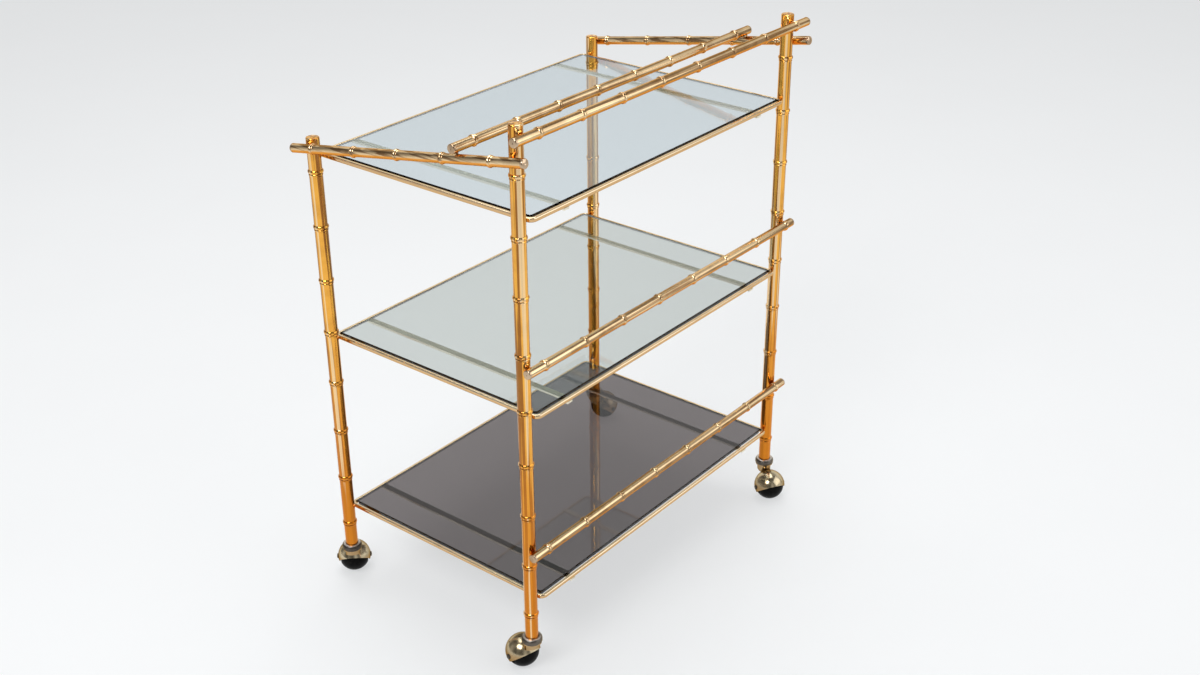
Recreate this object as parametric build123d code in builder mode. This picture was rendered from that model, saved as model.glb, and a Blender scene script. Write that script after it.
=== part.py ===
from build123d import *
from math import atan, cos, degrees, radians, sin
import os

# Bar cart on four hooded ball casters: bamboo-form brass tubes and three glass shelves.
# X runs along the long side, Y from the rail side to the back, Z up from the floor.

# Posts
post_pitch_x = 602.0
post_pitch_y = 368.0
post_d = 19.0
post_wall = 1.2
front_post_length = 765.0
back_post_length = 666.5
first_ring_height = 46.5

# Bamboo rings, each a rounded bead with a low step beside it
ring_pitch = 82.0
ring_end_margin = 12.0
post_bead_length = 6.0
post_bead_height = 1.5
post_step_length = 3.2
post_step_height = 0.6
rail_bead_length = 5.0
rail_bead_height = 1.4
rail_step_length = 2.4
rail_step_height = 0.45

# Rails
rail_d = 13.0
rail_wall = 1.0
rail_bead_clearance = 0.1
front_top_rail_drop = 11.5
end_rail_front_drop = 41.6
end_rail_back_drop = 8.9
middle_rail_lift = 76.0
lower_rail_lift = 82.3
inner_rail_setback = 83.7
shelf_rail_overhang = 14.0
end_rail_front_overhang = 30.0
end_rail_back_overhang = 22.0
front_top_first_ring = 46.5
inner_top_first_ring = 40.0
middle_first_ring = 35.0
lower_first_ring = 31.5
end_rail_first_ring = 57.0

# Stand-off studs between the end rails and the inner rail
stud_height = 1.9
stud_d = 7.0
stud_plug_clearance = 0.75

# Caps that plug the open tube ends
post_cap_side = 1.0
post_cap_edge_r = 1.7
post_cap_dome = 0.5
post_plug_length = 5.0
rail_cap_side = 2.2
rail_cap_edge_r = 1.5
rail_cap_dome = 0.5
rail_plug_length = 2.0
seat_fit = 0.05

# Pins that carry the rails and shelves on the posts
pin_d = 4.0
pin_grip = 1.0
shelf_pin_depth = 2.5

# Shelves: the lower two stand above the posts' feet, the top one hangs below the back posts' tops
lower_shelf_height = 70.5
middle_shelf_height = 362.2
top_shelf_drop = 24.0
shelf_post_gap = 3.0
shelf_proud = 1.0
frame_width = 4.5
frame_height = 6.5
frame_corner_r = 10.5
frame_outer_edge_r = 2.2
frame_inner_edge_r = 0.6
glass_thickness = 6.0
glass_gap = 3.5
glass_setback = 2.5
glass_shift = 2.0
glass_arris = 0.5
crossbar_inset = 68.5
crossbar_width = 10.0
crossbar_thickness = 3.0
crossbar_end_inset = 0.8

# Ball casters
wheel_r = 23.6
wheel_half_width = 20.5
wheel_hub_r = 6.0
wheel_side_recess = 2.5
hood_gap = 0.6
hood_wall = 1.2
ball_offset = 23.5
hood_cut_angle = 50.0
hood_cut_depth = 7.8
boss_r = 11.0
boss_lift = 15.4
boss_height = 14.2
boss_slant = 18.8
boss_slant_lift = 3.75
boss_flange_r = 14.0
boss_flange_height = 2.0
swivel_gap = 0.3
collar_r = 15.0
collar_height = 9.0
collar_floor = 2.0
collar_edge_r = 4.6
collar_foot_r = 1.4
stem_r = 4.0
stem_reach = 34.0
stem_point = 1.0
stem_inset = 1.85
stem_grip_r = 0.45
stem_grip_length = 3.0
stem_grip_inset = 3.0
running_fit = 0.05
socket_length = 38.0
axle_r = 2.5
axle_head_fit = 0.1
hub_clearance = 0.4
rivet_r = 3.9
rivet_height = 1.0
rivet_dome = 1.0

# Way each caster stands, in degrees from +X to its ball, seen from above
caster_heading = {
    "front_left": 77.0,
    "back_left": 45.0,
    "front_right": -121.0,
    "back_right": -8.0,
}

# Worked out from the sizes above
post_r = post_d / 2
rail_r = rail_d / 2
pin_r = pin_d / 2
ball_z = wheel_r
hood_inner_r = wheel_r + hood_gap
hood_r = hood_inner_r + hood_wall
boss_z = ball_z + boss_lift
boss_slant_z = boss_z + boss_slant_lift
stem_z = boss_slant_z + stem_inset
flange_top_z = boss_z + boss_height + boss_flange_height
collar_z = flange_top_z + swivel_gap
foot_z = collar_z + collar_floor
rail_gap = rail_bead_height + rail_bead_clearance
rail_offset = post_r + rail_gap + rail_r
rail_cap_height = rail_cap_side + rail_cap_edge_r + rail_cap_dome
front_rail_y = -post_pitch_y / 2 - rail_offset
end_rail_x = post_pitch_x / 2 + rail_offset
front_top_rail_z = foot_z + front_post_length - front_top_rail_drop
middle_rail_z = foot_z + middle_shelf_height + middle_rail_lift
lower_rail_z = foot_z + lower_shelf_height + lower_rail_lift
end_rail_front_z = foot_z + front_post_length - end_rail_front_drop
end_rail_back_z = foot_z + back_post_length - end_rail_back_drop
end_rail_slope = (end_rail_front_z - end_rail_back_z) / post_pitch_y
end_rail_tilt = degrees(atan(end_rail_slope))
tilt_cos = cos(radians(end_rail_tilt))
inner_rail_y = -post_pitch_y / 2 + inner_rail_setback
end_rail_at_inner_z = end_rail_front_z - inner_rail_setback * end_rail_slope
end_rail_top_z = end_rail_at_inner_z + rail_r / tilt_cos
inner_rail_z = end_rail_top_z + stud_height + rail_r
top_rail_half = end_rail_x + pin_r + stud_plug_clearance + rail_plug_length + rail_cap_height
shelf_rail_half = post_pitch_x / 2 + shelf_rail_overhang
shelf_length = post_pitch_x - 2 * (post_r + shelf_post_gap)
shelf_depth = post_pitch_y + post_d + 2 * shelf_proud
crossbar_x = shelf_length / 2 - crossbar_inset

posts = {
    "front_left": (-post_pitch_x / 2, -post_pitch_y / 2, front_post_length),
    "front_right": (post_pitch_x / 2, -post_pitch_y / 2, front_post_length),
    "back_left": (-post_pitch_x / 2, post_pitch_y / 2, back_post_length),
    "back_right": (post_pitch_x / 2, post_pitch_y / 2, back_post_length),
}
shelf_tops = {
    "lower": foot_z + lower_shelf_height,
    "middle": foot_z + middle_shelf_height,
    "top": foot_z + back_post_length - top_shelf_drop,
}

# Each finished piece under its name
pieces = {}


def end_rail_z(y):
    return end_rail_front_z - (y + post_pitch_y / 2) * end_rail_slope


def ring_heights(length, first):
    # Rings a pitch apart along a tube, none nearer to its far end than the margin.
    count = int((length - first - ring_end_margin) // ring_pitch) + 1
    return [first + ring_pitch * index for index in range(count)]


def bamboo_tube(length, radius, wall, rings, bead, step):
    # One turned tube along +Z from the origin. A ring has its bead centred on its height
    # and its step just below the bead.
    bead_length, bead_height = bead
    step_length, step_height = step
    with BuildPart() as tube:
        with BuildSketch(Plane.XZ):
            with BuildLine():
                outline = Line((radius - wall, 0), (radius, 0))
                for height in rings:
                    bead_low = height - bead_length / 2
                    step_low = bead_low - step_length
                    outline = Line(outline @ 1, (radius, step_low))
                    outline = ThreePointArc(
                        outline @ 1,
                        (radius + step_height, (step_low + bead_low) / 2),
                        (radius, bead_low),
                    )
                    outline = ThreePointArc(
                        outline @ 1,
                        (radius + bead_height, height),
                        (radius, height + bead_length / 2),
                    )
                outline = Line(outline @ 1, (radius, length))
                outline = Line(outline @ 1, (radius - wall, length))
                Line(outline @ 1, (radius - wall, 0))
            make_face()
        revolve(axis=Axis.Z)
    return tube.part


def plug_cap(tube_r, wall, side, edge_r, dome, plug_length):
    # A cap on a tube end that lies at the origin, with its plug towards -Z.
    plug_r = tube_r - wall - seat_fit
    edge_top = side + edge_r
    edge_mid = edge_r * sin(radians(45))
    with BuildPart() as cap:
        with BuildSketch(Plane.XZ):
            with BuildLine():
                Polyline((0, -plug_length), (plug_r, -plug_length), (plug_r, 0), (tube_r, 0), (tube_r, side))
                ThreePointArc(
                    (tube_r, side),
                    (tube_r - edge_r + edge_mid, side + edge_mid),
                    (tube_r - edge_r, edge_top),
                )
                TangentArc((0, edge_top + dome), (tube_r - edge_r, edge_top), tangent=(1, 0))
                Line((0, edge_top + dome), (0, -plug_length))
            make_face()
        revolve(axis=Axis.Z)
    return cap.part


def pin_tool(radius, start, end):
    # A plain pin along +Z between two heights.
    with BuildPart() as pin:
        with BuildSketch(Plane.XY.offset(start)):
            Circle(radius)
        extrude(amount=end - start)
    return pin.part


# Where each pin stands: its foot on a post's axis, and the way it points
hole_r = pin_r + seat_fit
rail_pin_start = post_r - post_wall - pin_grip
rail_pin_end = post_r + rail_gap + rail_wall + pin_grip
rail_pin_places = []
for rail_z in (front_top_rail_z, middle_rail_z, lower_rail_z):
    for side in (-1, 1):
        rail_pin_places.append(((side * post_pitch_x / 2, -post_pitch_y / 2, rail_z), (0, -1, 0)))
for side in (-1, 1):
    for end_y in (-post_pitch_y / 2, post_pitch_y / 2):
        rail_pin_places.append(((side * post_pitch_x / 2, end_y, end_rail_z(end_y)), (side, 0, 0)))

shelf_pin_end = post_r + shelf_post_gap + shelf_pin_depth
shelf_pin_places = []
for shelf_z in shelf_tops.values():
    for side in (-1, 1):
        for end_y in (-post_pitch_y / 2, post_pitch_y / 2):
            foot = (side * post_pitch_x / 2, end_y, shelf_z - frame_height / 2)
            shelf_pin_places.append((foot, (-side, 0, 0)))


def pin_planes(places):
    return [Plane(origin=foot, z_dir=way) for foot, way in places]


with BuildPart() as rail_pins:
    with Locations(*pin_planes(rail_pin_places)):
        add(pin_tool(pin_r, rail_pin_start, rail_pin_end))
pieces["rail_pins"] = rail_pins

with BuildPart() as shelf_pins:
    with Locations(*pin_planes(shelf_pin_places)):
        add(pin_tool(pin_r, rail_pin_start, shelf_pin_end))
pieces["shelf_pins"] = shelf_pins

rail_pin_hole = pin_tool(hole_r, rail_pin_start, rail_pin_end)
shelf_pin_hole = pin_tool(hole_r, rail_pin_start, shelf_pin_end)


# Posts and their caps
for corner, (x, y, length) in posts.items():
    rings = ring_heights(length, first_ring_height)
    bead = (post_bead_length, post_bead_height)
    step = (post_step_length, post_step_height)
    rail_pins_here = [spot for spot in rail_pin_places if spot[0][:2] == (x, y)]
    shelf_pins_here = [spot for spot in shelf_pin_places if spot[0][:2] == (x, y)]
    with BuildPart() as post:
        with Locations((x, y, foot_z)):
            add(bamboo_tube(length, post_r, post_wall, rings, bead, step))
        with Locations(*pin_planes(rail_pins_here)):
            add(rail_pin_hole, mode=Mode.SUBTRACT)
        with Locations(*pin_planes(shelf_pins_here)):
            add(shelf_pin_hole, mode=Mode.SUBTRACT)
    pieces[f"{corner}_post"] = post

    with BuildPart() as post_cap:
        with Locations((x, y, foot_z + length)):
            add(plug_cap(post_r, post_wall, post_cap_side, post_cap_edge_r, post_cap_dome, post_plug_length))
    pieces[f"{corner}_post_cap"] = post_cap


# Stand-off studs: a disc between the rails with a pin into each of them
stud_pin_low = end_rail_top_z - rail_wall - pin_grip
stud_pin_high = end_rail_top_z + stud_height + rail_wall + pin_grip
stud_disc_low = end_rail_top_z - stud_d / 2
stud_disc_high = end_rail_top_z + stud_height + stud_d / 2
stud_feet = [(-end_rail_x, inner_rail_y), (end_rail_x, inner_rail_y)]
below_studs = [(x, y, end_rail_at_inner_z) for x, y in stud_feet]

with BuildPart() as inner_rail_studs:
    with Locations(*stud_feet):
        add(pin_tool(stud_d / 2, stud_disc_low, stud_disc_high))
    with Locations(*below_studs):
        Cylinder(rail_r, 2 * stud_d, rotation=(90 - end_rail_tilt, 0, 0), mode=Mode.SUBTRACT)
    with Locations((0, inner_rail_y, inner_rail_z)):
        Cylinder(rail_r, 2 * top_rail_half, rotation=(0, 90, 0), mode=Mode.SUBTRACT)
    with Locations(*stud_feet):
        add(pin_tool(pin_r, stud_pin_low, stud_pin_high))
pieces["inner_rail_studs"] = inner_rail_studs

stud_hole = pin_tool(hole_r, stud_pin_low, stud_pin_high)


def rail_tube(length, rings):
    bead = (rail_bead_length, rail_bead_height)
    step = (rail_step_length, rail_step_height)
    return bamboo_tube(length, rail_r, rail_wall, rings, bead, step)


def rail_caps(place, length):
    # The two caps of a rail whose tube starts at a place and runs along its +Z.
    cap = plug_cap(rail_r, rail_wall, rail_cap_side, rail_cap_edge_r, rail_cap_dome, rail_plug_length)
    with BuildPart() as caps:
        with Locations(place * Location((0, 0, length)), place * Location((0, 0, 0), (180, 0, 0))):
            add(cap)
    return caps


# Long rails: each tube starts at its right end, so that the step of a ring faces right
long_rails = {
    "front_top_rail": (front_rail_y, front_top_rail_z, top_rail_half, front_top_first_ring),
    "inner_top_rail": (inner_rail_y, inner_rail_z, top_rail_half, inner_top_first_ring),
    "middle_front_rail": (front_rail_y, middle_rail_z, shelf_rail_half, middle_first_ring),
    "lower_front_rail": (front_rail_y, lower_rail_z, shelf_rail_half, lower_first_ring),
}
for name, (y, z, half, first_ring) in long_rails.items():
    length = 2 * (half - rail_cap_height)
    from_left = ring_heights(length, first_ring - rail_cap_height)
    rings = sorted(length - height for height in from_left)
    place = Location((length / 2, y, z), (0, -90, 0))
    pins_here = [spot for spot in rail_pin_places if y == front_rail_y and spot[0][2] == z]
    with BuildPart() as long_rail:
        with Locations(place):
            add(rail_tube(length, rings))
        if pins_here:
            with Locations(*pin_planes(pins_here)):
                add(rail_pin_hole, mode=Mode.SUBTRACT)
        else:
            with Locations(*stud_feet):
                add(stud_hole, mode=Mode.SUBTRACT)
    pieces[name] = long_rail
    pieces[f"{name}_caps"] = rail_caps(place, length)


# End rails: each falls from the front posts to the back posts, outside them
end_rail_span = post_pitch_y + end_rail_front_overhang + end_rail_back_overhang
end_rail_length = end_rail_span / tilt_cos - 2 * rail_cap_height
start_y = -post_pitch_y / 2 - end_rail_front_overhang + rail_cap_height * tilt_cos
end_rail_rings = ring_heights(end_rail_length, end_rail_first_ring - rail_cap_height)
for hand, side in (("left", -1), ("right", 1)):
    place = Location((side * end_rail_x, start_y, end_rail_z(start_y)), (-90 - end_rail_tilt, 0, 0))
    pins_here = [spot for spot in rail_pin_places if spot[1] == (side, 0, 0)]
    with BuildPart() as end_rail:
        with Locations(place):
            add(rail_tube(end_rail_length, end_rail_rings))
        with Locations(*pin_planes(pins_here)):
            add(rail_pin_hole, mode=Mode.SUBTRACT)
        with Locations(*stud_feet):
            add(stud_hole, mode=Mode.SUBTRACT)
    pieces[f"{hand}_end_rail"] = end_rail
    pieces[f"{hand}_end_rail_caps"] = rail_caps(place, end_rail_length)


# Shelves: a brass frame, two cross bars under it and a glass that rests on the bars
inner_length = shelf_length - 2 * frame_width
inner_depth = shelf_depth - 2 * frame_width
inner_corner_r = frame_corner_r - frame_width
glass_corner_r = inner_corner_r - glass_gap / 2
for level, top_z in shelf_tops.items():
    bottom_z = top_z - frame_height

    with BuildPart() as shelf_frame:
        with BuildSketch(Plane.XY.offset(bottom_z)):
            RectangleRounded(shelf_length, shelf_depth, frame_corner_r)
            RectangleRounded(inner_length, inner_depth, inner_corner_r, mode=Mode.SUBTRACT)
        extrude(amount=frame_height)
        top_face = faces().sort_by(Axis.Z)[-1]
        bottom_face = faces().sort_by(Axis.Z)[0]
        fillet(top_face.outer_wire().edges(), frame_outer_edge_r)
        fillet(bottom_face.outer_wire().edges(), frame_outer_edge_r)
        fillet(faces().sort_by(Axis.Z)[-1].inner_wires()[0].edges(), frame_inner_edge_r)
        pins_here = [spot for spot in shelf_pin_places if bottom_z < spot[0][2] < top_z]
        with Locations(*pin_planes(pins_here)):
            add(shelf_pin_hole, mode=Mode.SUBTRACT)
    pieces[f"{level}_shelf_frame"] = shelf_frame

    for hand, side in (("left", -1), ("right", 1)):
        with BuildPart() as crossbar:
            with BuildSketch(Plane.XY.offset(bottom_z - crossbar_thickness)):
                with Locations((side * crossbar_x, 0)):
                    Rectangle(crossbar_width, shelf_depth - 2 * crossbar_end_inset)
            extrude(amount=crossbar_thickness)
        pieces[f"{level}_shelf_{hand}_crossbar"] = crossbar

    with BuildPart() as glass:
        with BuildSketch(Plane.XY.offset(bottom_z)):
            with Locations((glass_shift, glass_setback)):
                RectangleRounded(inner_length - 2 * glass_gap, inner_depth - 2 * glass_gap, glass_corner_r)
        extrude(amount=glass_thickness)
        rims = faces().sort_by(Axis.Z)
        chamfer(rims[-1].edges() + rims[0].edges(), glass_arris)
    pieces[f"{level}_shelf_glass"] = glass


# Caster pieces, with the stem on the Z axis and the ball on +X
with BuildPart() as collar:
    with BuildSketch(Plane.XY.offset(collar_z)):
        Circle(collar_r)
    extrude(amount=collar_height)
    fillet(faces().sort_by(Axis.Z)[-1].edges(), collar_edge_r)
    fillet(faces().sort_by(Axis.Z)[0].edges(), collar_foot_r)
    with BuildSketch(Plane.XY.offset(foot_z)):
        Circle(post_r + seat_fit)
    extrude(amount=collar_height, mode=Mode.SUBTRACT)
    with BuildSketch(Plane.XY.offset(collar_z)):
        Circle(stem_r + running_fit)
    extrude(amount=collar_height, mode=Mode.SUBTRACT)

grip_top = foot_z + stem_reach - stem_grip_inset
grip_low = grip_top - stem_grip_length

with BuildPart() as socket:
    with BuildSketch(Plane.XZ):
        bore_r = stem_r + running_fit
        groove_r = bore_r + stem_grip_r
        with BuildLine():
            Polyline(
                (bore_r, foot_z),
                (post_r - post_wall - seat_fit, foot_z),
                (post_r - post_wall - seat_fit, foot_z + socket_length),
                (bore_r, foot_z + socket_length),
                (bore_r, grip_top),
                (groove_r, grip_top - stem_grip_length / 4),
                (groove_r, grip_low + stem_grip_length / 4),
                (bore_r, grip_low),
                close=True,
            )
        make_face()
    revolve(axis=Axis.Z)

with BuildPart() as stem:
    with BuildSketch(Plane.XZ):
        with BuildLine():
            Polyline(
                (0, stem_z),
                (stem_r, stem_z),
                (stem_r, grip_low),
                (stem_r + stem_grip_r, grip_low + stem_grip_length / 4),
                (stem_r + stem_grip_r, grip_top - stem_grip_length / 4),
                (stem_r, grip_top),
                (stem_r, foot_z + stem_reach - stem_point),
                (stem_r - stem_point, foot_z + stem_reach),
                (0, foot_z + stem_reach),
                close=True,
            )
        make_face()
    revolve(axis=Axis.Z)

# The boss over the hood's rim is cut on a slant, higher on the side away from the ball
with BuildPart() as boss:
    with BuildSketch(Plane.XY.offset(boss_z)):
        Circle(boss_r)
    extrude(amount=boss_height)
    slant_way = (sin(radians(boss_slant)), 0, cos(radians(boss_slant)))
    split(bisect_by=Plane(origin=(0, 0, boss_slant_z), z_dir=slant_way), keep=Keep.TOP)

ball_centre = Vector(ball_offset, 0, ball_z)
cut_size = 4 * hood_r
with BuildPart() as hood:
    with Locations(ball_centre):
        Sphere(hood_r)
        Sphere(hood_inner_r, mode=Mode.SUBTRACT)
    for way in (-1, 1):
        lean = Vector(way * cos(radians(hood_cut_angle)), 0, sin(radians(hood_cut_angle)))
        with Locations(Plane(origin=ball_centre - lean * hood_cut_depth, z_dir=lean)):
            Box(
                cut_size,
                cut_size,
                cut_size,
                align=(Align.CENTER, Align.CENTER, Align.MAX),
                mode=Mode.SUBTRACT,
            )
    add(boss.part)
    with BuildSketch(Plane.XY.offset(boss_z + boss_height)):
        Circle(boss_flange_r)
    extrude(amount=boss_flange_height)
    with Locations(ball_centre):
        Sphere(hood_inner_r, mode=Mode.SUBTRACT)
    with BuildSketch(Plane.XY.offset(boss_z)):
        Circle(stem_r + seat_fit)
    extrude(amount=boss_height + boss_flange_height, mode=Mode.SUBTRACT)
    with Locations(Location(ball_centre, (90, 0, 0))):
        Cylinder(axle_r + seat_fit, cut_size, mode=Mode.SUBTRACT)

ball_plane = Plane(origin=ball_centre, x_dir=(1, 0, 0), z_dir=(0, 0, 1))
ball_axis = Axis(ball_centre, (0, 1, 0))

# Each rivet head stands just clear of the round hood
axle_half = hood_r - axle_head_fit
head_z = axle_half + rivet_height
with BuildPart() as axle:
    with BuildSketch(ball_plane):
        with BuildLine():
            Polyline((0, 0), (axle_r, 0), (axle_r, axle_half), (rivet_r, axle_half), (rivet_r, head_z))
            TangentArc((0, head_z + rivet_dome), (rivet_r, head_z), tangent=(1, 0))
            Line((0, head_z + rivet_dome), (0, 0))
        make_face()
    revolve(axis=ball_axis)
    mirror(about=Plane.XZ)

tread_edge_r = (wheel_r**2 - wheel_half_width**2) ** 0.5
hub_half = (hood_inner_r**2 - wheel_hub_r**2) ** 0.5 - hub_clearance
recess_y = wheel_half_width - wheel_side_recess
with BuildPart() as wheel:
    with BuildSketch(ball_plane):
        with BuildLine():
            bore_side = Line((axle_r + running_fit, -hub_half), (axle_r + running_fit, hub_half))
            upper = Polyline(
                bore_side @ 1,
                (wheel_hub_r, hub_half),
                (wheel_hub_r, recess_y),
                (tread_edge_r - wheel_side_recess, recess_y),
                (tread_edge_r, wheel_half_width),
            )
            tread = ThreePointArc(upper @ 1, (wheel_r, 0), (tread_edge_r, -wheel_half_width))
            Polyline(
                tread @ 1,
                (tread_edge_r - wheel_side_recess, -recess_y),
                (wheel_hub_r, -recess_y),
                (wheel_hub_r, -hub_half),
                bore_side @ 0,
            )
        make_face()
    revolve(axis=ball_axis)

caster_pieces = {
    "caster_collar": collar,
    "caster_socket": socket,
    "caster_stem": stem,
    "caster_hood": hood,
    "caster_axle": axle,
    "caster_wheel": wheel,
}
for corner, (x, y, length) in posts.items():
    for name, piece in caster_pieces.items():
        with BuildPart() as placed:
            with Locations(Location((x, y, 0), (0, 0, caster_heading[corner]))):
                add(piece.part)
        pieces[f"{corner}_{name}"] = placed


# The model's origin lies on the floor, below the middle of the whole cart's box
corners_low = [piece.part.bounding_box().min for piece in pieces.values()]
corners_high = [piece.part.bounding_box().max for piece in pieces.values()]
middle_x = (min(low.X for low in corners_low) + max(high.X for high in corners_high)) / 2
middle_y = (min(low.Y for low in corners_low) + max(high.Y for high in corners_high)) / 2
to_origin = Location((-middle_x, -middle_y, 0))

os.makedirs("parts", exist_ok=True)
for name, piece in pieces.items():
    finished = piece.part.moved(to_origin)
    finished.label = name
    export_step(finished, f"parts/{name}.step")
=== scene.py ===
from math import cos, log, pi, radians, sin

import bmesh
import bpy
from mathutils import Euler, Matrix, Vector

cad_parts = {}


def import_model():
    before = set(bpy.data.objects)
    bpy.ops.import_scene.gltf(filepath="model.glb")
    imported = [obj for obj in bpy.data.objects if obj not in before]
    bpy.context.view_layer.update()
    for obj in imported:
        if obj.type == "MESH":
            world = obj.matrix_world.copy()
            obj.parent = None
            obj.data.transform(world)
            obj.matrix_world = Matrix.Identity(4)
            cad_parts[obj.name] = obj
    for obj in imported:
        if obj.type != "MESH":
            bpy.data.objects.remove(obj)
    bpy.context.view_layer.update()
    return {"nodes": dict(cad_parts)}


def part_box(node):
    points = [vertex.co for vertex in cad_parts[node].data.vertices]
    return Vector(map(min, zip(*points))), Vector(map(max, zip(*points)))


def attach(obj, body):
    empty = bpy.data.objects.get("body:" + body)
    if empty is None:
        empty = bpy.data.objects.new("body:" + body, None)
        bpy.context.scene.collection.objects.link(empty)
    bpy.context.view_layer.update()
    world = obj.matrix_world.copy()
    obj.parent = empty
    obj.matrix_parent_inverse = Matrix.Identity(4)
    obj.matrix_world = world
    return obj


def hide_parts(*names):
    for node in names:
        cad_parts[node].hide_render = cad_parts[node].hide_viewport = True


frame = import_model()

MM = 0.001

# Glass sheets
SHELF_LEVELS = ("lower", "middle", "top")
GLASS_EDGE_R = 0.8 * MM
GLASS_SEAT_GAP = 0.06 * MM
GLASS_CORNER_R = 4.25 * MM
GLASS_CORNER_STEPS = 10
GLASS_EDGE_STEPS = 4

# Smoked glass: its refraction, the way of slanting light through a sheet, and its gloss
GLASS_IOR = 1.52
GLASS_PATH = 7.3 * MM
GLASS_DENSITY = 260.0
GLASS_ROUGHNESS = 0.008
GLASS_SMEAR_ROUGHNESS = 0.02
GLASS_DUST_ROUGHNESS = 0.05
WIPED_ACROSS = (1.0, 2.5, 1.0)

# Metal
ALONG_X = (0.012, 1.0, 1.0)
ALONG_Y = (1.0, 0.012, 1.0)
ALONG_Z = (1.0, 1.0, 0.012)
ALL_WAYS = (1.0, 1.0, 1.0)
CREVICE_REACH = 2.5 * MM
CREVICE_SAMPLES = 6
RUBBED_AND_REFLECTION_SHARE = 0.7
LINE_SHARE = 0.25
PIT_SHARE = 0.5
PIT_DEPTH = 0.8
DIRT_ROUGHNESS = 0.25
COAT_ROUGHNESS = 0.06
RELIEF = 0.1 * MM

# Wheel
WHEEL_BLACK = (0.003, 0.003, 0.003)
WHEEL_DUST_COLOUR = (0.05, 0.045, 0.04)
WHEEL_DUST_SHARE = 0.2
WHEEL_ROUGHNESS = 0.3
WHEEL_DUST_ROUGHNESS = 0.3
WHEEL_SPECULAR = 0.06
WHEEL_BUMP = 0.1

# Noise patterns: waves per metre, and the levels where a patch begins and where it is full
TARNISH_CLOUDS = {"scale": 22.0, "detail": 5.0, "roughness": 0.6, "begin": 0.42, "full": 0.68}
# Dark and cream bands along a tube, partly tarnished and rubbing marks and partly painted
# reflection bands.
TARNISH_AND_REFLECTION_BANDS = {"scale": 230.0, "detail": 2.0, "roughness": 0.4, "begin": 0.47, "full": 0.56}
RUBBED_AND_REFLECTION_BANDS = {"scale": 150.0, "detail": 1.0, "roughness": 0.4, "begin": 0.59, "full": 0.64}
METAL_PITS = {"scale": 900.0, "detail": 4.0, "roughness": 0.7, "begin": 0.64, "full": 0.76}
METAL_LINES = {"scale": 900.0, "detail": 3.0, "roughness": 0.6}
GLASS_SMEARS = {"scale": 9.0, "detail": 4.0, "roughness": 0.6, "begin": 0.45, "full": 0.75}
GLASS_DUST = {"scale": 700.0, "detail": 2.0, "roughness": 0.5, "begin": 0.66, "full": 0.78}
WHEEL_DUST = {"scale": 160.0, "detail": 6.0, "roughness": 0.65, "begin": 0.45, "full": 0.75}
WHEEL_GRAIN = {"scale": 1800.0, "detail": 2.0, "roughness": 0.5}
FLOOR_CLOUDS = {"scale": 3.0, "detail": 4.0, "roughness": 0.5}

# Ramps: place and level. A facing of 0 is up, 0.5 is upright and 1 is down. Heights are in metres.
# Painted shade: how occlusion turns into darkening in grooves and corners.
CREVICE_RAMP = ((0.35, 1.0), (0.85, 0.0))
# Painted reflection: heights over which a post's foot turns deep orange.
PAINTED_REFLECTION_HEIGHTS = ((0.08, 0.92), (0.5, 0.0))
# Painted reflection: facings over which an underside turns orange.
PAINTED_UNDERSIDE_FACING = ((0.53, 0.0), (0.61, 0.9))
# Painted reflection: facings over which the upright sides turn deeper and browner.
PAINTED_SIDE_FACING = ((0.3, 0.0), (0.45, 0.75))
# Painted highlight: facings over which a top turns light.
PAINTED_HIGHLIGHT_FACING = ((0.03, 0.8), (0.14, 0.0))
FLOOR_TONES = (0.3, 0.7)

# Room: how bright its walls are, counter-clockwise from its left side, and the share left higher up
WALL_PANELS = (
    (0.00, 0.25),
    (0.10, 0.12),
    (0.16, 0.60),
    (0.22, 0.18),
    (0.28, 0.80),
    (0.37, 0.95),
    (0.40, 0.18),
    (0.43, 0.95),
    (0.60, 1.00),
    (0.72, 1.00),
    (0.80, 0.20),
    (0.88, 0.55),
    (0.95, 0.12),
)
ROOM_HEIGHT = ((0.0, 1.0), (0.45, 0.85), (0.8, 0.35), (1.0, 0.3))
HORIZON_COLOUR = (0.68, 0.694, 0.70)
BACKDROP_COLOUR = (0.94, 0.955, 0.965)
BACKDROP_SHARE = 0.6
FLOOR_SIZE = 60.0
FLOOR_COLOUR = (0.80, 0.81, 0.82)
FLOOR_LIFT = 1.02
FLOOR_ROUGHNESS = 0.75

# The photograph's camera, its turn in degrees
PHOTO_WIDTH = 1200
FOCAL_LENGTH_PX = 1511.12
SENSOR_WIDTH_MM = 36.0
CAMERA_PLACE = (-1.5807, -1.3230, 1.4253)
CAMERA_TURN = (62.505, 0.285, -51.533)


def opaque(colour):
    return (*colour, 1.0)


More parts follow.
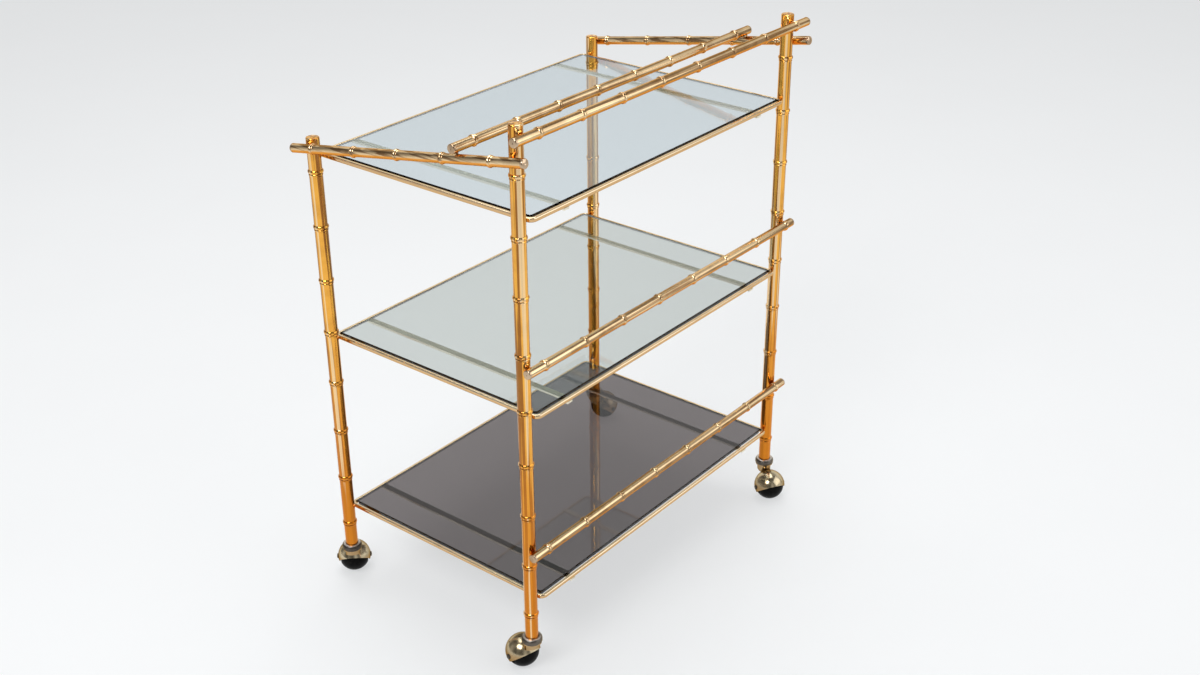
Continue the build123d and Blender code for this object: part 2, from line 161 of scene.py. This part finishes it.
class Nodes:
    """A material's or world's node tree with short calls to add nodes and links."""

    def __init__(self, tree):
        self.tree = tree
        tree.nodes.clear()

    def add(self, kind, **settings):
        node = self.tree.nodes.new(kind)
        for name, value in settings.items():
            setattr(node, name, value)
        return node

    def join(self, source, target):
        self.tree.links.new(source, target)

    def put(self, socket, value):
        if isinstance(value, bpy.types.NodeSocket):
            self.join(value, socket)
        else:
            socket.default_value = value

    def math(self, operation, first, second=0.0, third=0.0, clamp=False):
        node = self.add("ShaderNodeMath", operation=operation, use_clamp=clamp)
        for socket, value in zip(node.inputs, (first, second, third)):
            self.put(socket, value)
        return node.outputs[0]

    def mix(self, factor, first, second, blend="MIX"):
        node = self.add("ShaderNodeMix", data_type="RGBA", blend_type=blend, clamp_factor=True)
        self.put(node.inputs[0], factor)
        self.put(node.inputs[6], first)
        self.put(node.inputs[7], second)
        return node.outputs[2]

    def ramp(self, factor, stops):
        """A smooth ramp. Each stop is a place and a level or a colour."""
        node = self.add("ShaderNodeValToRGB")
        node.color_ramp.interpolation = "EASE"
        elements = node.color_ramp.elements
        while len(elements) < len(stops):
            elements.new(0.5)
        for element, (place, level) in zip(elements, stops):
            element.position = place
            element.color = level if isinstance(level, tuple) else opaque((level, level, level))
        self.put(node.inputs[0], factor)
        return node.outputs[0]

    def place(self, scale=ALL_WAYS):
        """Object coordinates in metres, stretched by a scale."""
        source = self.add("ShaderNodeTexCoord").outputs["Object"]
        mapping = self.add("ShaderNodeMapping")
        mapping.inputs["Scale"].default_value = scale
        self.join(source, mapping.inputs["Vector"])
        return mapping.outputs[0]

    def split(self, vector):
        node = self.add("ShaderNodeSeparateXYZ")
        self.join(vector, node.inputs[0])
        return node.outputs

    def noise(self, vector, scale, detail, roughness):
        node = self.add("ShaderNodeTexNoise")
        self.join(vector, node.inputs["Vector"])
        node.inputs["Scale"].default_value = scale
        node.inputs["Detail"].default_value = detail
        node.inputs["Roughness"].default_value = roughness
        return node.outputs[0]

    def patches(self, vector, scale, detail, roughness, begin, full):
        """Noise turned into patches, 0 between them and 1 inside."""
        return self.ramp(self.noise(vector, scale, detail, roughness), ((begin, 0.0), (full, 1.0)))

    def bump(self, height, strength):
        node = self.add("ShaderNodeBump")
        node.inputs["Strength"].default_value = strength
        node.inputs["Distance"].default_value = RELIEF
        self.join(height, node.inputs["Height"])
        return node.outputs[0]

    def crevice(self):
        """Painted shade: from 0 in the open to 1 deep in a groove or corner, by ambient occlusion.
        """
        node = self.add("ShaderNodeAmbientOcclusion", samples=CREVICE_SAMPLES)
        node.inputs["Distance"].default_value = CREVICE_REACH
        return self.ramp(node.outputs["AO"], CREVICE_RAMP)

    def facing_down(self):
        """0 on top of a piece, 0.5 on its upright sides and 1 underneath."""
        normal = self.split(self.add("ShaderNodeNewGeometry").outputs["Normal"])
        return self.math("MULTIPLY_ADD", normal[2], -0.5, 0.5)


def new_material(name):
    """A material with one shader, joined to its output."""
    material = bpy.data.materials.new(name)
    material.use_nodes = True
    nodes = Nodes(material.node_tree)
    shader = nodes.add("ShaderNodeBsdfPrincipled")
    output = nodes.add("ShaderNodeOutputMaterial")
    nodes.join(shader.outputs[0], output.inputs["Surface"])
    return material, nodes, shader, output


# Places on a piece, where painted light shows in its colour
def painted_reflection_near_the_floor(nodes):
    """Painted reflection: deep orange towards a post's foot, as a mirrored orange floor would give.
    """
    return nodes.ramp(nodes.split(nodes.place())[2], PAINTED_REFLECTION_HEIGHTS)


def painted_reflection_underneath(nodes):
    """Painted reflection: orange on the underside, as a mirrored orange floor would give."""
    return nodes.ramp(nodes.facing_down(), PAINTED_UNDERSIDE_FACING)


def painted_reflection_on_the_sides(nodes):
    """Painted reflection: deeper, browner metal on the upright sides than on top, as a mirrored
    brown floor would give.
    """
    return nodes.ramp(nodes.facing_down(), PAINTED_SIDE_FACING)


def painted_highlight_on_top(nodes):
    """Painted highlight: metal made light on top."""
    return nodes.ramp(nodes.facing_down(), PAINTED_HIGHLIGHT_FACING)


# Materials
def aged_metal(
    name,
    bright,
    dull,
    stain_and_shade,
    rough,
    age,
    along=ALL_WAYS,
    streaks=0.0,
    grain=0.04,
    groove_shade_and_grime=0.85,
    pale=None,
    painted_light=None,
    edge=(0.95, 0.78, 0.5),
    coat=0.0,
):
    """Polished metal, tarnished from bright to dull in clouds, and streaked along its length in
    bands that are partly painted reflection.

    Its grooves are darkened with painted shade and made rougher, and its small pits are stained.
    Rough is the roughness where it's bright and dull, pale the colour of rubbing streaks that are
    partly painted reflection, and the painted light argument a colour of painted reflection, shade
    and highlight with the function for its places.
    """
    material, nodes, shader, _ = new_material(name)
    plain = nodes.place()
    lengthwise = nodes.place(along)
    lines = nodes.noise(lengthwise, **METAL_LINES)
    pits = nodes.patches(plain, **METAL_PITS)
    grooves = nodes.crevice()
    tarnish_and_reflection = nodes.math("MULTIPLY", nodes.patches(plain, **TARNISH_CLOUDS), age)
    # Dark bands along the length, partly tarnished marks and partly painted reflection bands.
    bands = nodes.patches(lengthwise, **TARNISH_AND_REFLECTION_BANDS)
    tarnish_and_reflection = nodes.math("MULTIPLY_ADD", bands, streaks, tarnish_and_reflection)
    tarnish_and_reflection = nodes.math("MULTIPLY_ADD", lines, LINE_SHARE * streaks, tarnish_and_reflection, clamp=True)

    colour = nodes.mix(tarnish_and_reflection, opaque(bright), opaque(dull))
    # Painted light: a colour of painted reflection, shade and highlight, laid on the places that
    # the function picks.
    if painted_light:
        shade, where = painted_light
        colour = nodes.mix(where(nodes), colour, opaque(shade))
    if pale:
        # Cream bands along the length, partly rubbing marks and partly painted reflection bands.
        rubbed_and_reflection_bands = nodes.patches(lengthwise, **RUBBED_AND_REFLECTION_BANDS)
        colour = nodes.mix(nodes.math("MULTIPLY", rubbed_and_reflection_bands, RUBBED_AND_REFLECTION_SHARE), colour, opaque(pale))
    colour = nodes.mix(nodes.math("MULTIPLY", pits, PIT_SHARE * age), colour, opaque(stain_and_shade))
    # Painted shade: grooves and corners darkened towards the dark brown.
    colour = nodes.mix(nodes.math("MULTIPLY", grooves, groove_shade_and_grime), colour, opaque(stain_and_shade))
    nodes.join(colour, shader.inputs["Base Color"])
    shader.inputs["Metallic"].default_value = 1.0
    shader.inputs["Specular Tint"].default_value = opaque(edge)
    shader.inputs["Coat Weight"].default_value = coat
    shader.inputs["Coat Roughness"].default_value = COAT_ROUGHNESS

    low, high = rough
    spread = nodes.math("MULTIPLY_ADD", tarnish_and_reflection, high - low, low)
    spread = nodes.math("MULTIPLY_ADD", grooves, DIRT_ROUGHNESS * groove_shade_and_grime, spread, clamp=True)
    nodes.join(spread, shader.inputs["Roughness"])
    if grain:
        height = nodes.math("MULTIPLY_ADD", pits, -PIT_DEPTH, lines)
        nodes.join(nodes.bump(height, grain), shader.inputs["Normal"])
    return material


def smoked_glass(name, passed):
    """Smoked sheet with faint wiping marks. Passed is the share of light straight through it."""
    material, nodes, shader, output = new_material(name)
    smears = nodes.patches(nodes.place(WIPED_ACROSS), **GLASS_SMEARS)
    dust = nodes.patches(nodes.place(), **GLASS_DUST)
    spread = nodes.math("MULTIPLY_ADD", smears, GLASS_SMEAR_ROUGHNESS, GLASS_ROUGHNESS)
    spread = nodes.math("MULTIPLY_ADD", dust, GLASS_DUST_ROUGHNESS, spread)
    nodes.join(spread, shader.inputs["Roughness"])
    shader.inputs["Base Color"].default_value = (1.0, 1.0, 1.0, 1.0)
    shader.inputs["Transmission Weight"].default_value = 1.0
    shader.inputs["IOR"].default_value = GLASS_IOR
    losses = [-log(share) / GLASS_PATH for share in passed]
    inside = nodes.add("ShaderNodeVolumeAbsorption")
    inside.inputs["Color"].default_value = opaque(1.0 - loss / GLASS_DENSITY for loss in losses)
    inside.inputs["Density"].default_value = GLASS_DENSITY
    nodes.join(inside.outputs[0], output.inputs["Volume"])
    return material


def black_tread(name):
    """Hard black wheel, dusty in patches."""
    material, nodes, shader, _ = new_material(name)
    dust = nodes.patches(nodes.place(), **WHEEL_DUST)
    grain = nodes.noise(nodes.place(), **WHEEL_GRAIN)
    share = nodes.math("MULTIPLY", dust, WHEEL_DUST_SHARE)
    colour = nodes.mix(share, opaque(WHEEL_BLACK), opaque(WHEEL_DUST_COLOUR))
    spread = nodes.math("MULTIPLY_ADD", dust, WHEEL_DUST_ROUGHNESS, WHEEL_ROUGHNESS)
    nodes.join(colour, shader.inputs["Base Color"])
    nodes.join(spread, shader.inputs["Roughness"])
    nodes.join(nodes.bump(grain, WHEEL_BUMP), shader.inputs["Normal"])
    shader.inputs["Specular IOR Level"].default_value = WHEEL_SPECULAR
    return material


# Dark brown for stained pits and for painted shade in grooves.
BRASS_STAIN_AND_SHADE = (0.07, 0.03, 0.01)
RAIL_EDGE = (0.80, 0.50, 0.20)
# Brass colour and painted reflection: the posts' deep orange stands partly for an orange floor
# mirrored in them.
post_brass = aged_metal(
    "post_brass",
    bright=(0.98, 0.48, 0.07),
    dull=(0.34, 0.13, 0.022),
    stain_and_shade=BRASS_STAIN_AND_SHADE,
    rough=(0.08, 0.2),
    age=0.25,
    along=ALONG_Z,
    streaks=0.85,
    pale=(1.0, 0.76, 0.44),
    # Painted reflection: deep orange towards the foot.
    painted_light=((0.68, 0.21, 0.008), painted_reflection_near_the_floor),
    edge=(1.0, 0.93, 0.80),
    coat=0.25,
)
rail_brass = {
    "bright": (0.96, 0.72, 0.42),
    "dull": (0.30, 0.17, 0.075),
    "stain_and_shade": BRASS_STAIN_AND_SHADE,
    "rough": (0.10, 0.22),
    "age": 0.35,
    "streaks": 0.75,
    # Painted reflection: orange on the rails' undersides.
    "painted_light": ((0.82, 0.32, 0.04), painted_reflection_underneath),
    "edge": RAIL_EDGE,
    "coat": 0.25,
}
long_brass = aged_metal("long_rail_brass", along=ALONG_X, **rail_brass)
end_brass = aged_metal("end_rail_brass", along=ALONG_Y, **rail_brass)
cap_brass = aged_metal(
    "rail_cap_brass",
    bright=(0.60, 0.45, 0.31),
    dull=(0.30, 0.18, 0.09),
    stain_and_shade=BRASS_STAIN_AND_SHADE,
    rough=(0.10, 0.22),
    age=0.7,
    edge=RAIL_EDGE,
)
frame_brass = aged_metal(
    "shelf_frame_brass",
    bright=(0.88, 0.71, 0.48),
    dull=(0.48, 0.33, 0.17),
    stain_and_shade=BRASS_STAIN_AND_SHADE,
    rough=(0.09, 0.18),
    age=0.3,
    grain=0.0,
    groove_shade_and_grime=0.4,
    # Painted reflection: deeper, browner upright sides of the frame.
    painted_light=((0.66, 0.38, 0.15), painted_reflection_on_the_sides),
)
# Painted light: the bars' light colour lifts bars that lie in the shade of the glass above.
crossbar_brass = aged_metal(
    "crossbar_brass",
    bright=(0.92, 0.88, 0.74),
    dull=(0.74, 0.66, 0.50),
    stain_and_shade=(0.2, 0.15, 0.1),
    rough=(0.3, 0.45),
    age=0.3,
    along=ALONG_Y,
    streaks=0.4,
    groove_shade_and_grime=0.0,
)
collar_bronze = aged_metal(
    "collar_bronze",
    bright=(0.16, 0.14, 0.12),
    dull=(0.06, 0.05, 0.045),
    stain_and_shade=(0.03, 0.02, 0.015),
    rough=(0.28, 0.45),
    age=0.9,
    # Painted highlight: a light crescent on the collar's top.
    painted_light=((0.75, 0.70, 0.65), painted_highlight_on_top),
)
hood_brass = aged_metal(
    "hood_brass",
    bright=(0.68, 0.58, 0.39),
    dull=(0.34, 0.25, 0.14),
    stain_and_shade=(0.05, 0.025, 0.01),
    rough=(0.14, 0.30),
    age=0.8,
    # Painted reflection: a deeper, browner rim round the hood's sides.
    painted_light=((0.46, 0.28, 0.12), painted_reflection_on_the_sides),
    edge=(0.45, 0.32, 0.18),
)
caster_steel = aged_metal(
    "caster_steel",
    bright=(0.12, 0.11, 0.10),
    dull=(0.06, 0.055, 0.05),
    stain_and_shade=(0.02, 0.02, 0.02),
    rough=(0.3, 0.45),
    age=0.5,
)
wheel_black = black_tread("wheel_black")
# Painted shade: the lower sheet passes far less light, and browner, than the others, as if the
# floor seen through it lay in shade under the cart.
shelf_glass = {
    "top": smoked_glass("top_smoked_glass", (0.72, 0.79, 0.82)),
    "middle": smoked_glass("middle_smoked_glass", (0.66, 0.70, 0.68)),
    "lower": smoked_glass("lower_shaded_smoked_glass", (0.17, 0.112, 0.058)),
}


# CAD pieces take their finish by name
def finish_for(name):
    if name.endswith("_caster_wheel"):
        return wheel_black
    if name.endswith("_caster_hood"):
        return hood_brass
    if name.endswith("_caster_collar"):
        return collar_bronze
    if name.endswith(("_caster_stem", "_caster_socket", "_caster_axle")):
        return caster_steel
    if "_crossbar" in name:
        return crossbar_brass
    if "_shelf_frame" in name:
        return frame_brass
    if name.endswith("_rail_caps"):
        return cap_brass
    if "_end_rail" in name:
        return end_brass
    if "_rail" in name:
        return long_brass
    return post_brass


for name, node in frame["nodes"].items():
    if not name.endswith("_glass"):
        node.data.materials.clear()
        node.data.materials.append(finish_for(name))


# Glass shelves, with ground and rounded edges
def rounded_outline(low, high, corner_r):
    """Points round a rectangle with rounded corners, counter-clockwise from its right side."""
    centres = (
        (high.x - corner_r, low.y + corner_r),
        (high.x - corner_r, high.y - corner_r),
        (low.x + corner_r, high.y - corner_r),
        (low.x + corner_r, low.y + corner_r),
    )
    points = []
    for corner, (x, y) in enumerate(centres):
        start = (corner - 1) * pi / 2
        for step in range(GLASS_CORNER_STEPS + 1):
            angle = start + step / GLASS_CORNER_STEPS * pi / 2
            points.append((x + corner_r * cos(angle), y + corner_r * sin(angle)))
    return points


def edge_profile(low_z, high_z):
    """Height and inset of each ring from the lower face's rim to the upper face's."""
    for centre_z, start in ((low_z + GLASS_EDGE_R, -1), (high_z - GLASS_EDGE_R, 0)):
        for step in range(GLASS_EDGE_STEPS + 1):
            angle = (start + step / GLASS_EDGE_STEPS) * pi / 2
            yield centre_z + GLASS_EDGE_R * sin(angle), GLASS_EDGE_R * (1 - cos(angle))


def glass_shelf(level):
    low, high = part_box(f"{level}_shelf_glass")
    low.z += GLASS_SEAT_GAP
    mesh = bmesh.new()
    rings = []
    for z, inset in edge_profile(low.z, high.z):
        shift = Vector((inset, inset, 0))
        outline = rounded_outline(low + shift, high - shift, GLASS_CORNER_R - inset)
        rings.append([mesh.verts.new((x, y, z)) for x, y in outline])
    count = len(rings[0])
    for lower, upper in zip(rings, rings[1:]):
        for index in range(count):
            after = (index + 1) % count
            face = mesh.faces.new((lower[index], lower[after], upper[after], upper[index]))
            face.smooth = True
    mesh.faces.new(rings[-1])
    mesh.faces.new(list(reversed(rings[0])))
    data = bpy.data.meshes.new(f"{level}_glass_sheet")
    mesh.to_mesh(data)
    mesh.free()
    piece = bpy.data.objects.new(f"{level}_glass_sheet", data)
    bpy.context.collection.objects.link(piece)
    data.materials.append(shelf_glass[level])
    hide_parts(f"{level}_shelf_glass")
    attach(piece, "cart")


for level in SHELF_LEVELS:
    glass_shelf(level)


# Floor, which looks pale to the eye, in metal and through glass, and takes the object's shadow
def floor():
    bpy.ops.mesh.primitive_plane_add(size=FLOOR_SIZE, location=(0, 0, 0))
    plane = bpy.context.object
    plane.name = "floor"
    material, nodes, shader, output = new_material("floor")
    clouds = nodes.noise(nodes.place(), **FLOOR_CLOUDS)
    tones = (opaque(FLOOR_COLOUR), opaque(channel * FLOOR_LIFT for channel in FLOOR_COLOUR))
    colour = nodes.ramp(clouds, tuple(zip(FLOOR_TONES, tones)))
    nodes.join(colour, shader.inputs["Base Color"])
    shader.inputs["Roughness"].default_value = FLOOR_ROUGHNESS
    glow = nodes.add("ShaderNodeEmission")
    glow.inputs["Color"].default_value = opaque(BACKDROP_COLOUR)
    rays = nodes.add("ShaderNodeLightPath").outputs
    seen = nodes.math("ADD", rays["Is Camera Ray"], rays["Is Glossy Ray"])
    seen = nodes.math("ADD", seen, rays["Is Transmission Ray"], clamp=True)
    blend = nodes.add("ShaderNodeMixShader")
    nodes.join(nodes.math("MULTIPLY", seen, BACKDROP_SHARE), blend.inputs[0])
    nodes.join(shader.outputs[0], blend.inputs[1])
    nodes.join(glow.outputs[0], blend.inputs[2])
    nodes.join(blend.outputs[0], output.inputs["Surface"])
    plane.data.materials.append(material)


floor()


# World: a room of light and dark panels under a dim ceiling, with the floor's colour far away
def world():
    studio = bpy.data.worlds.new("studio")
    bpy.context.scene.world = studio
    studio.use_nodes = True
    nodes = Nodes(studio.node_tree)
    way = nodes.split(nodes.add("ShaderNodeTexCoord").outputs["Generated"])
    turn = nodes.math("ARCTAN2", way[1], way[0])
    walls = nodes.ramp(nodes.math("MULTIPLY_ADD", turn, 1 / (2 * pi), 0.5), WALL_PANELS)
    height = nodes.ramp(way[2], ROOM_HEIGHT)
    room = nodes.mix(1.0, walls, height, "MULTIPLY")
    rays = nodes.add("ShaderNodeLightPath").outputs
    seen = nodes.math("ADD", rays["Is Camera Ray"], rays["Is Transmission Ray"], clamp=True)
    back = nodes.add("ShaderNodeBackground")
    nodes.join(nodes.mix(seen, room, opaque(HORIZON_COLOUR)), back.inputs["Color"])
    back.inputs["Strength"].default_value = 1.0
    output = nodes.add("ShaderNodeOutputWorld")
    nodes.join(back.outputs[0], output.inputs[0])


world()


# Lamps: large soft boxes
def softbox(name, place, aim, size, watts):
    light = bpy.data.lights.new(name, "AREA")
    light.shape = "RECTANGLE"
    light.size, light.size_y = size
    light.energy = watts
    lamp = bpy.data.objects.new(name, light)
    bpy.context.collection.objects.link(lamp)
    lamp.location = place
    lamp.rotation_euler = (Vector(aim) - Vector(place)).to_track_quat("-Z", "Y").to_euler()


softbox("key", place=(-2.2, -0.4, 2.6), aim=(0, 0, 0.4), size=(1.4, 1.1), watts=48)
softbox("fill", place=(1.2, -2.6, 1.9), aim=(0, 0, 0.4), size=(3.4, 2.4), watts=26)
softbox("overhead", place=(0.4, 0.6, 3.4), aim=(0, 0, 0.3), size=(2.6, 2.2), watts=66)


# Camera
def camera():
    data = bpy.data.cameras.new("camera")
    data.sensor_fit = "HORIZONTAL"
    data.sensor_width = SENSOR_WIDTH_MM
    data.lens = FOCAL_LENGTH_PX / PHOTO_WIDTH * SENSOR_WIDTH_MM
    eye = bpy.data.objects.new("camera", data)
    bpy.context.collection.objects.link(eye)
    eye.location = CAMERA_PLACE
    eye.rotation_euler = Euler([radians(angle) for angle in CAMERA_TURN])
    bpy.context.scene.camera = eye


camera()
bpy.context.scene.view_settings.view_transform = "Standard"
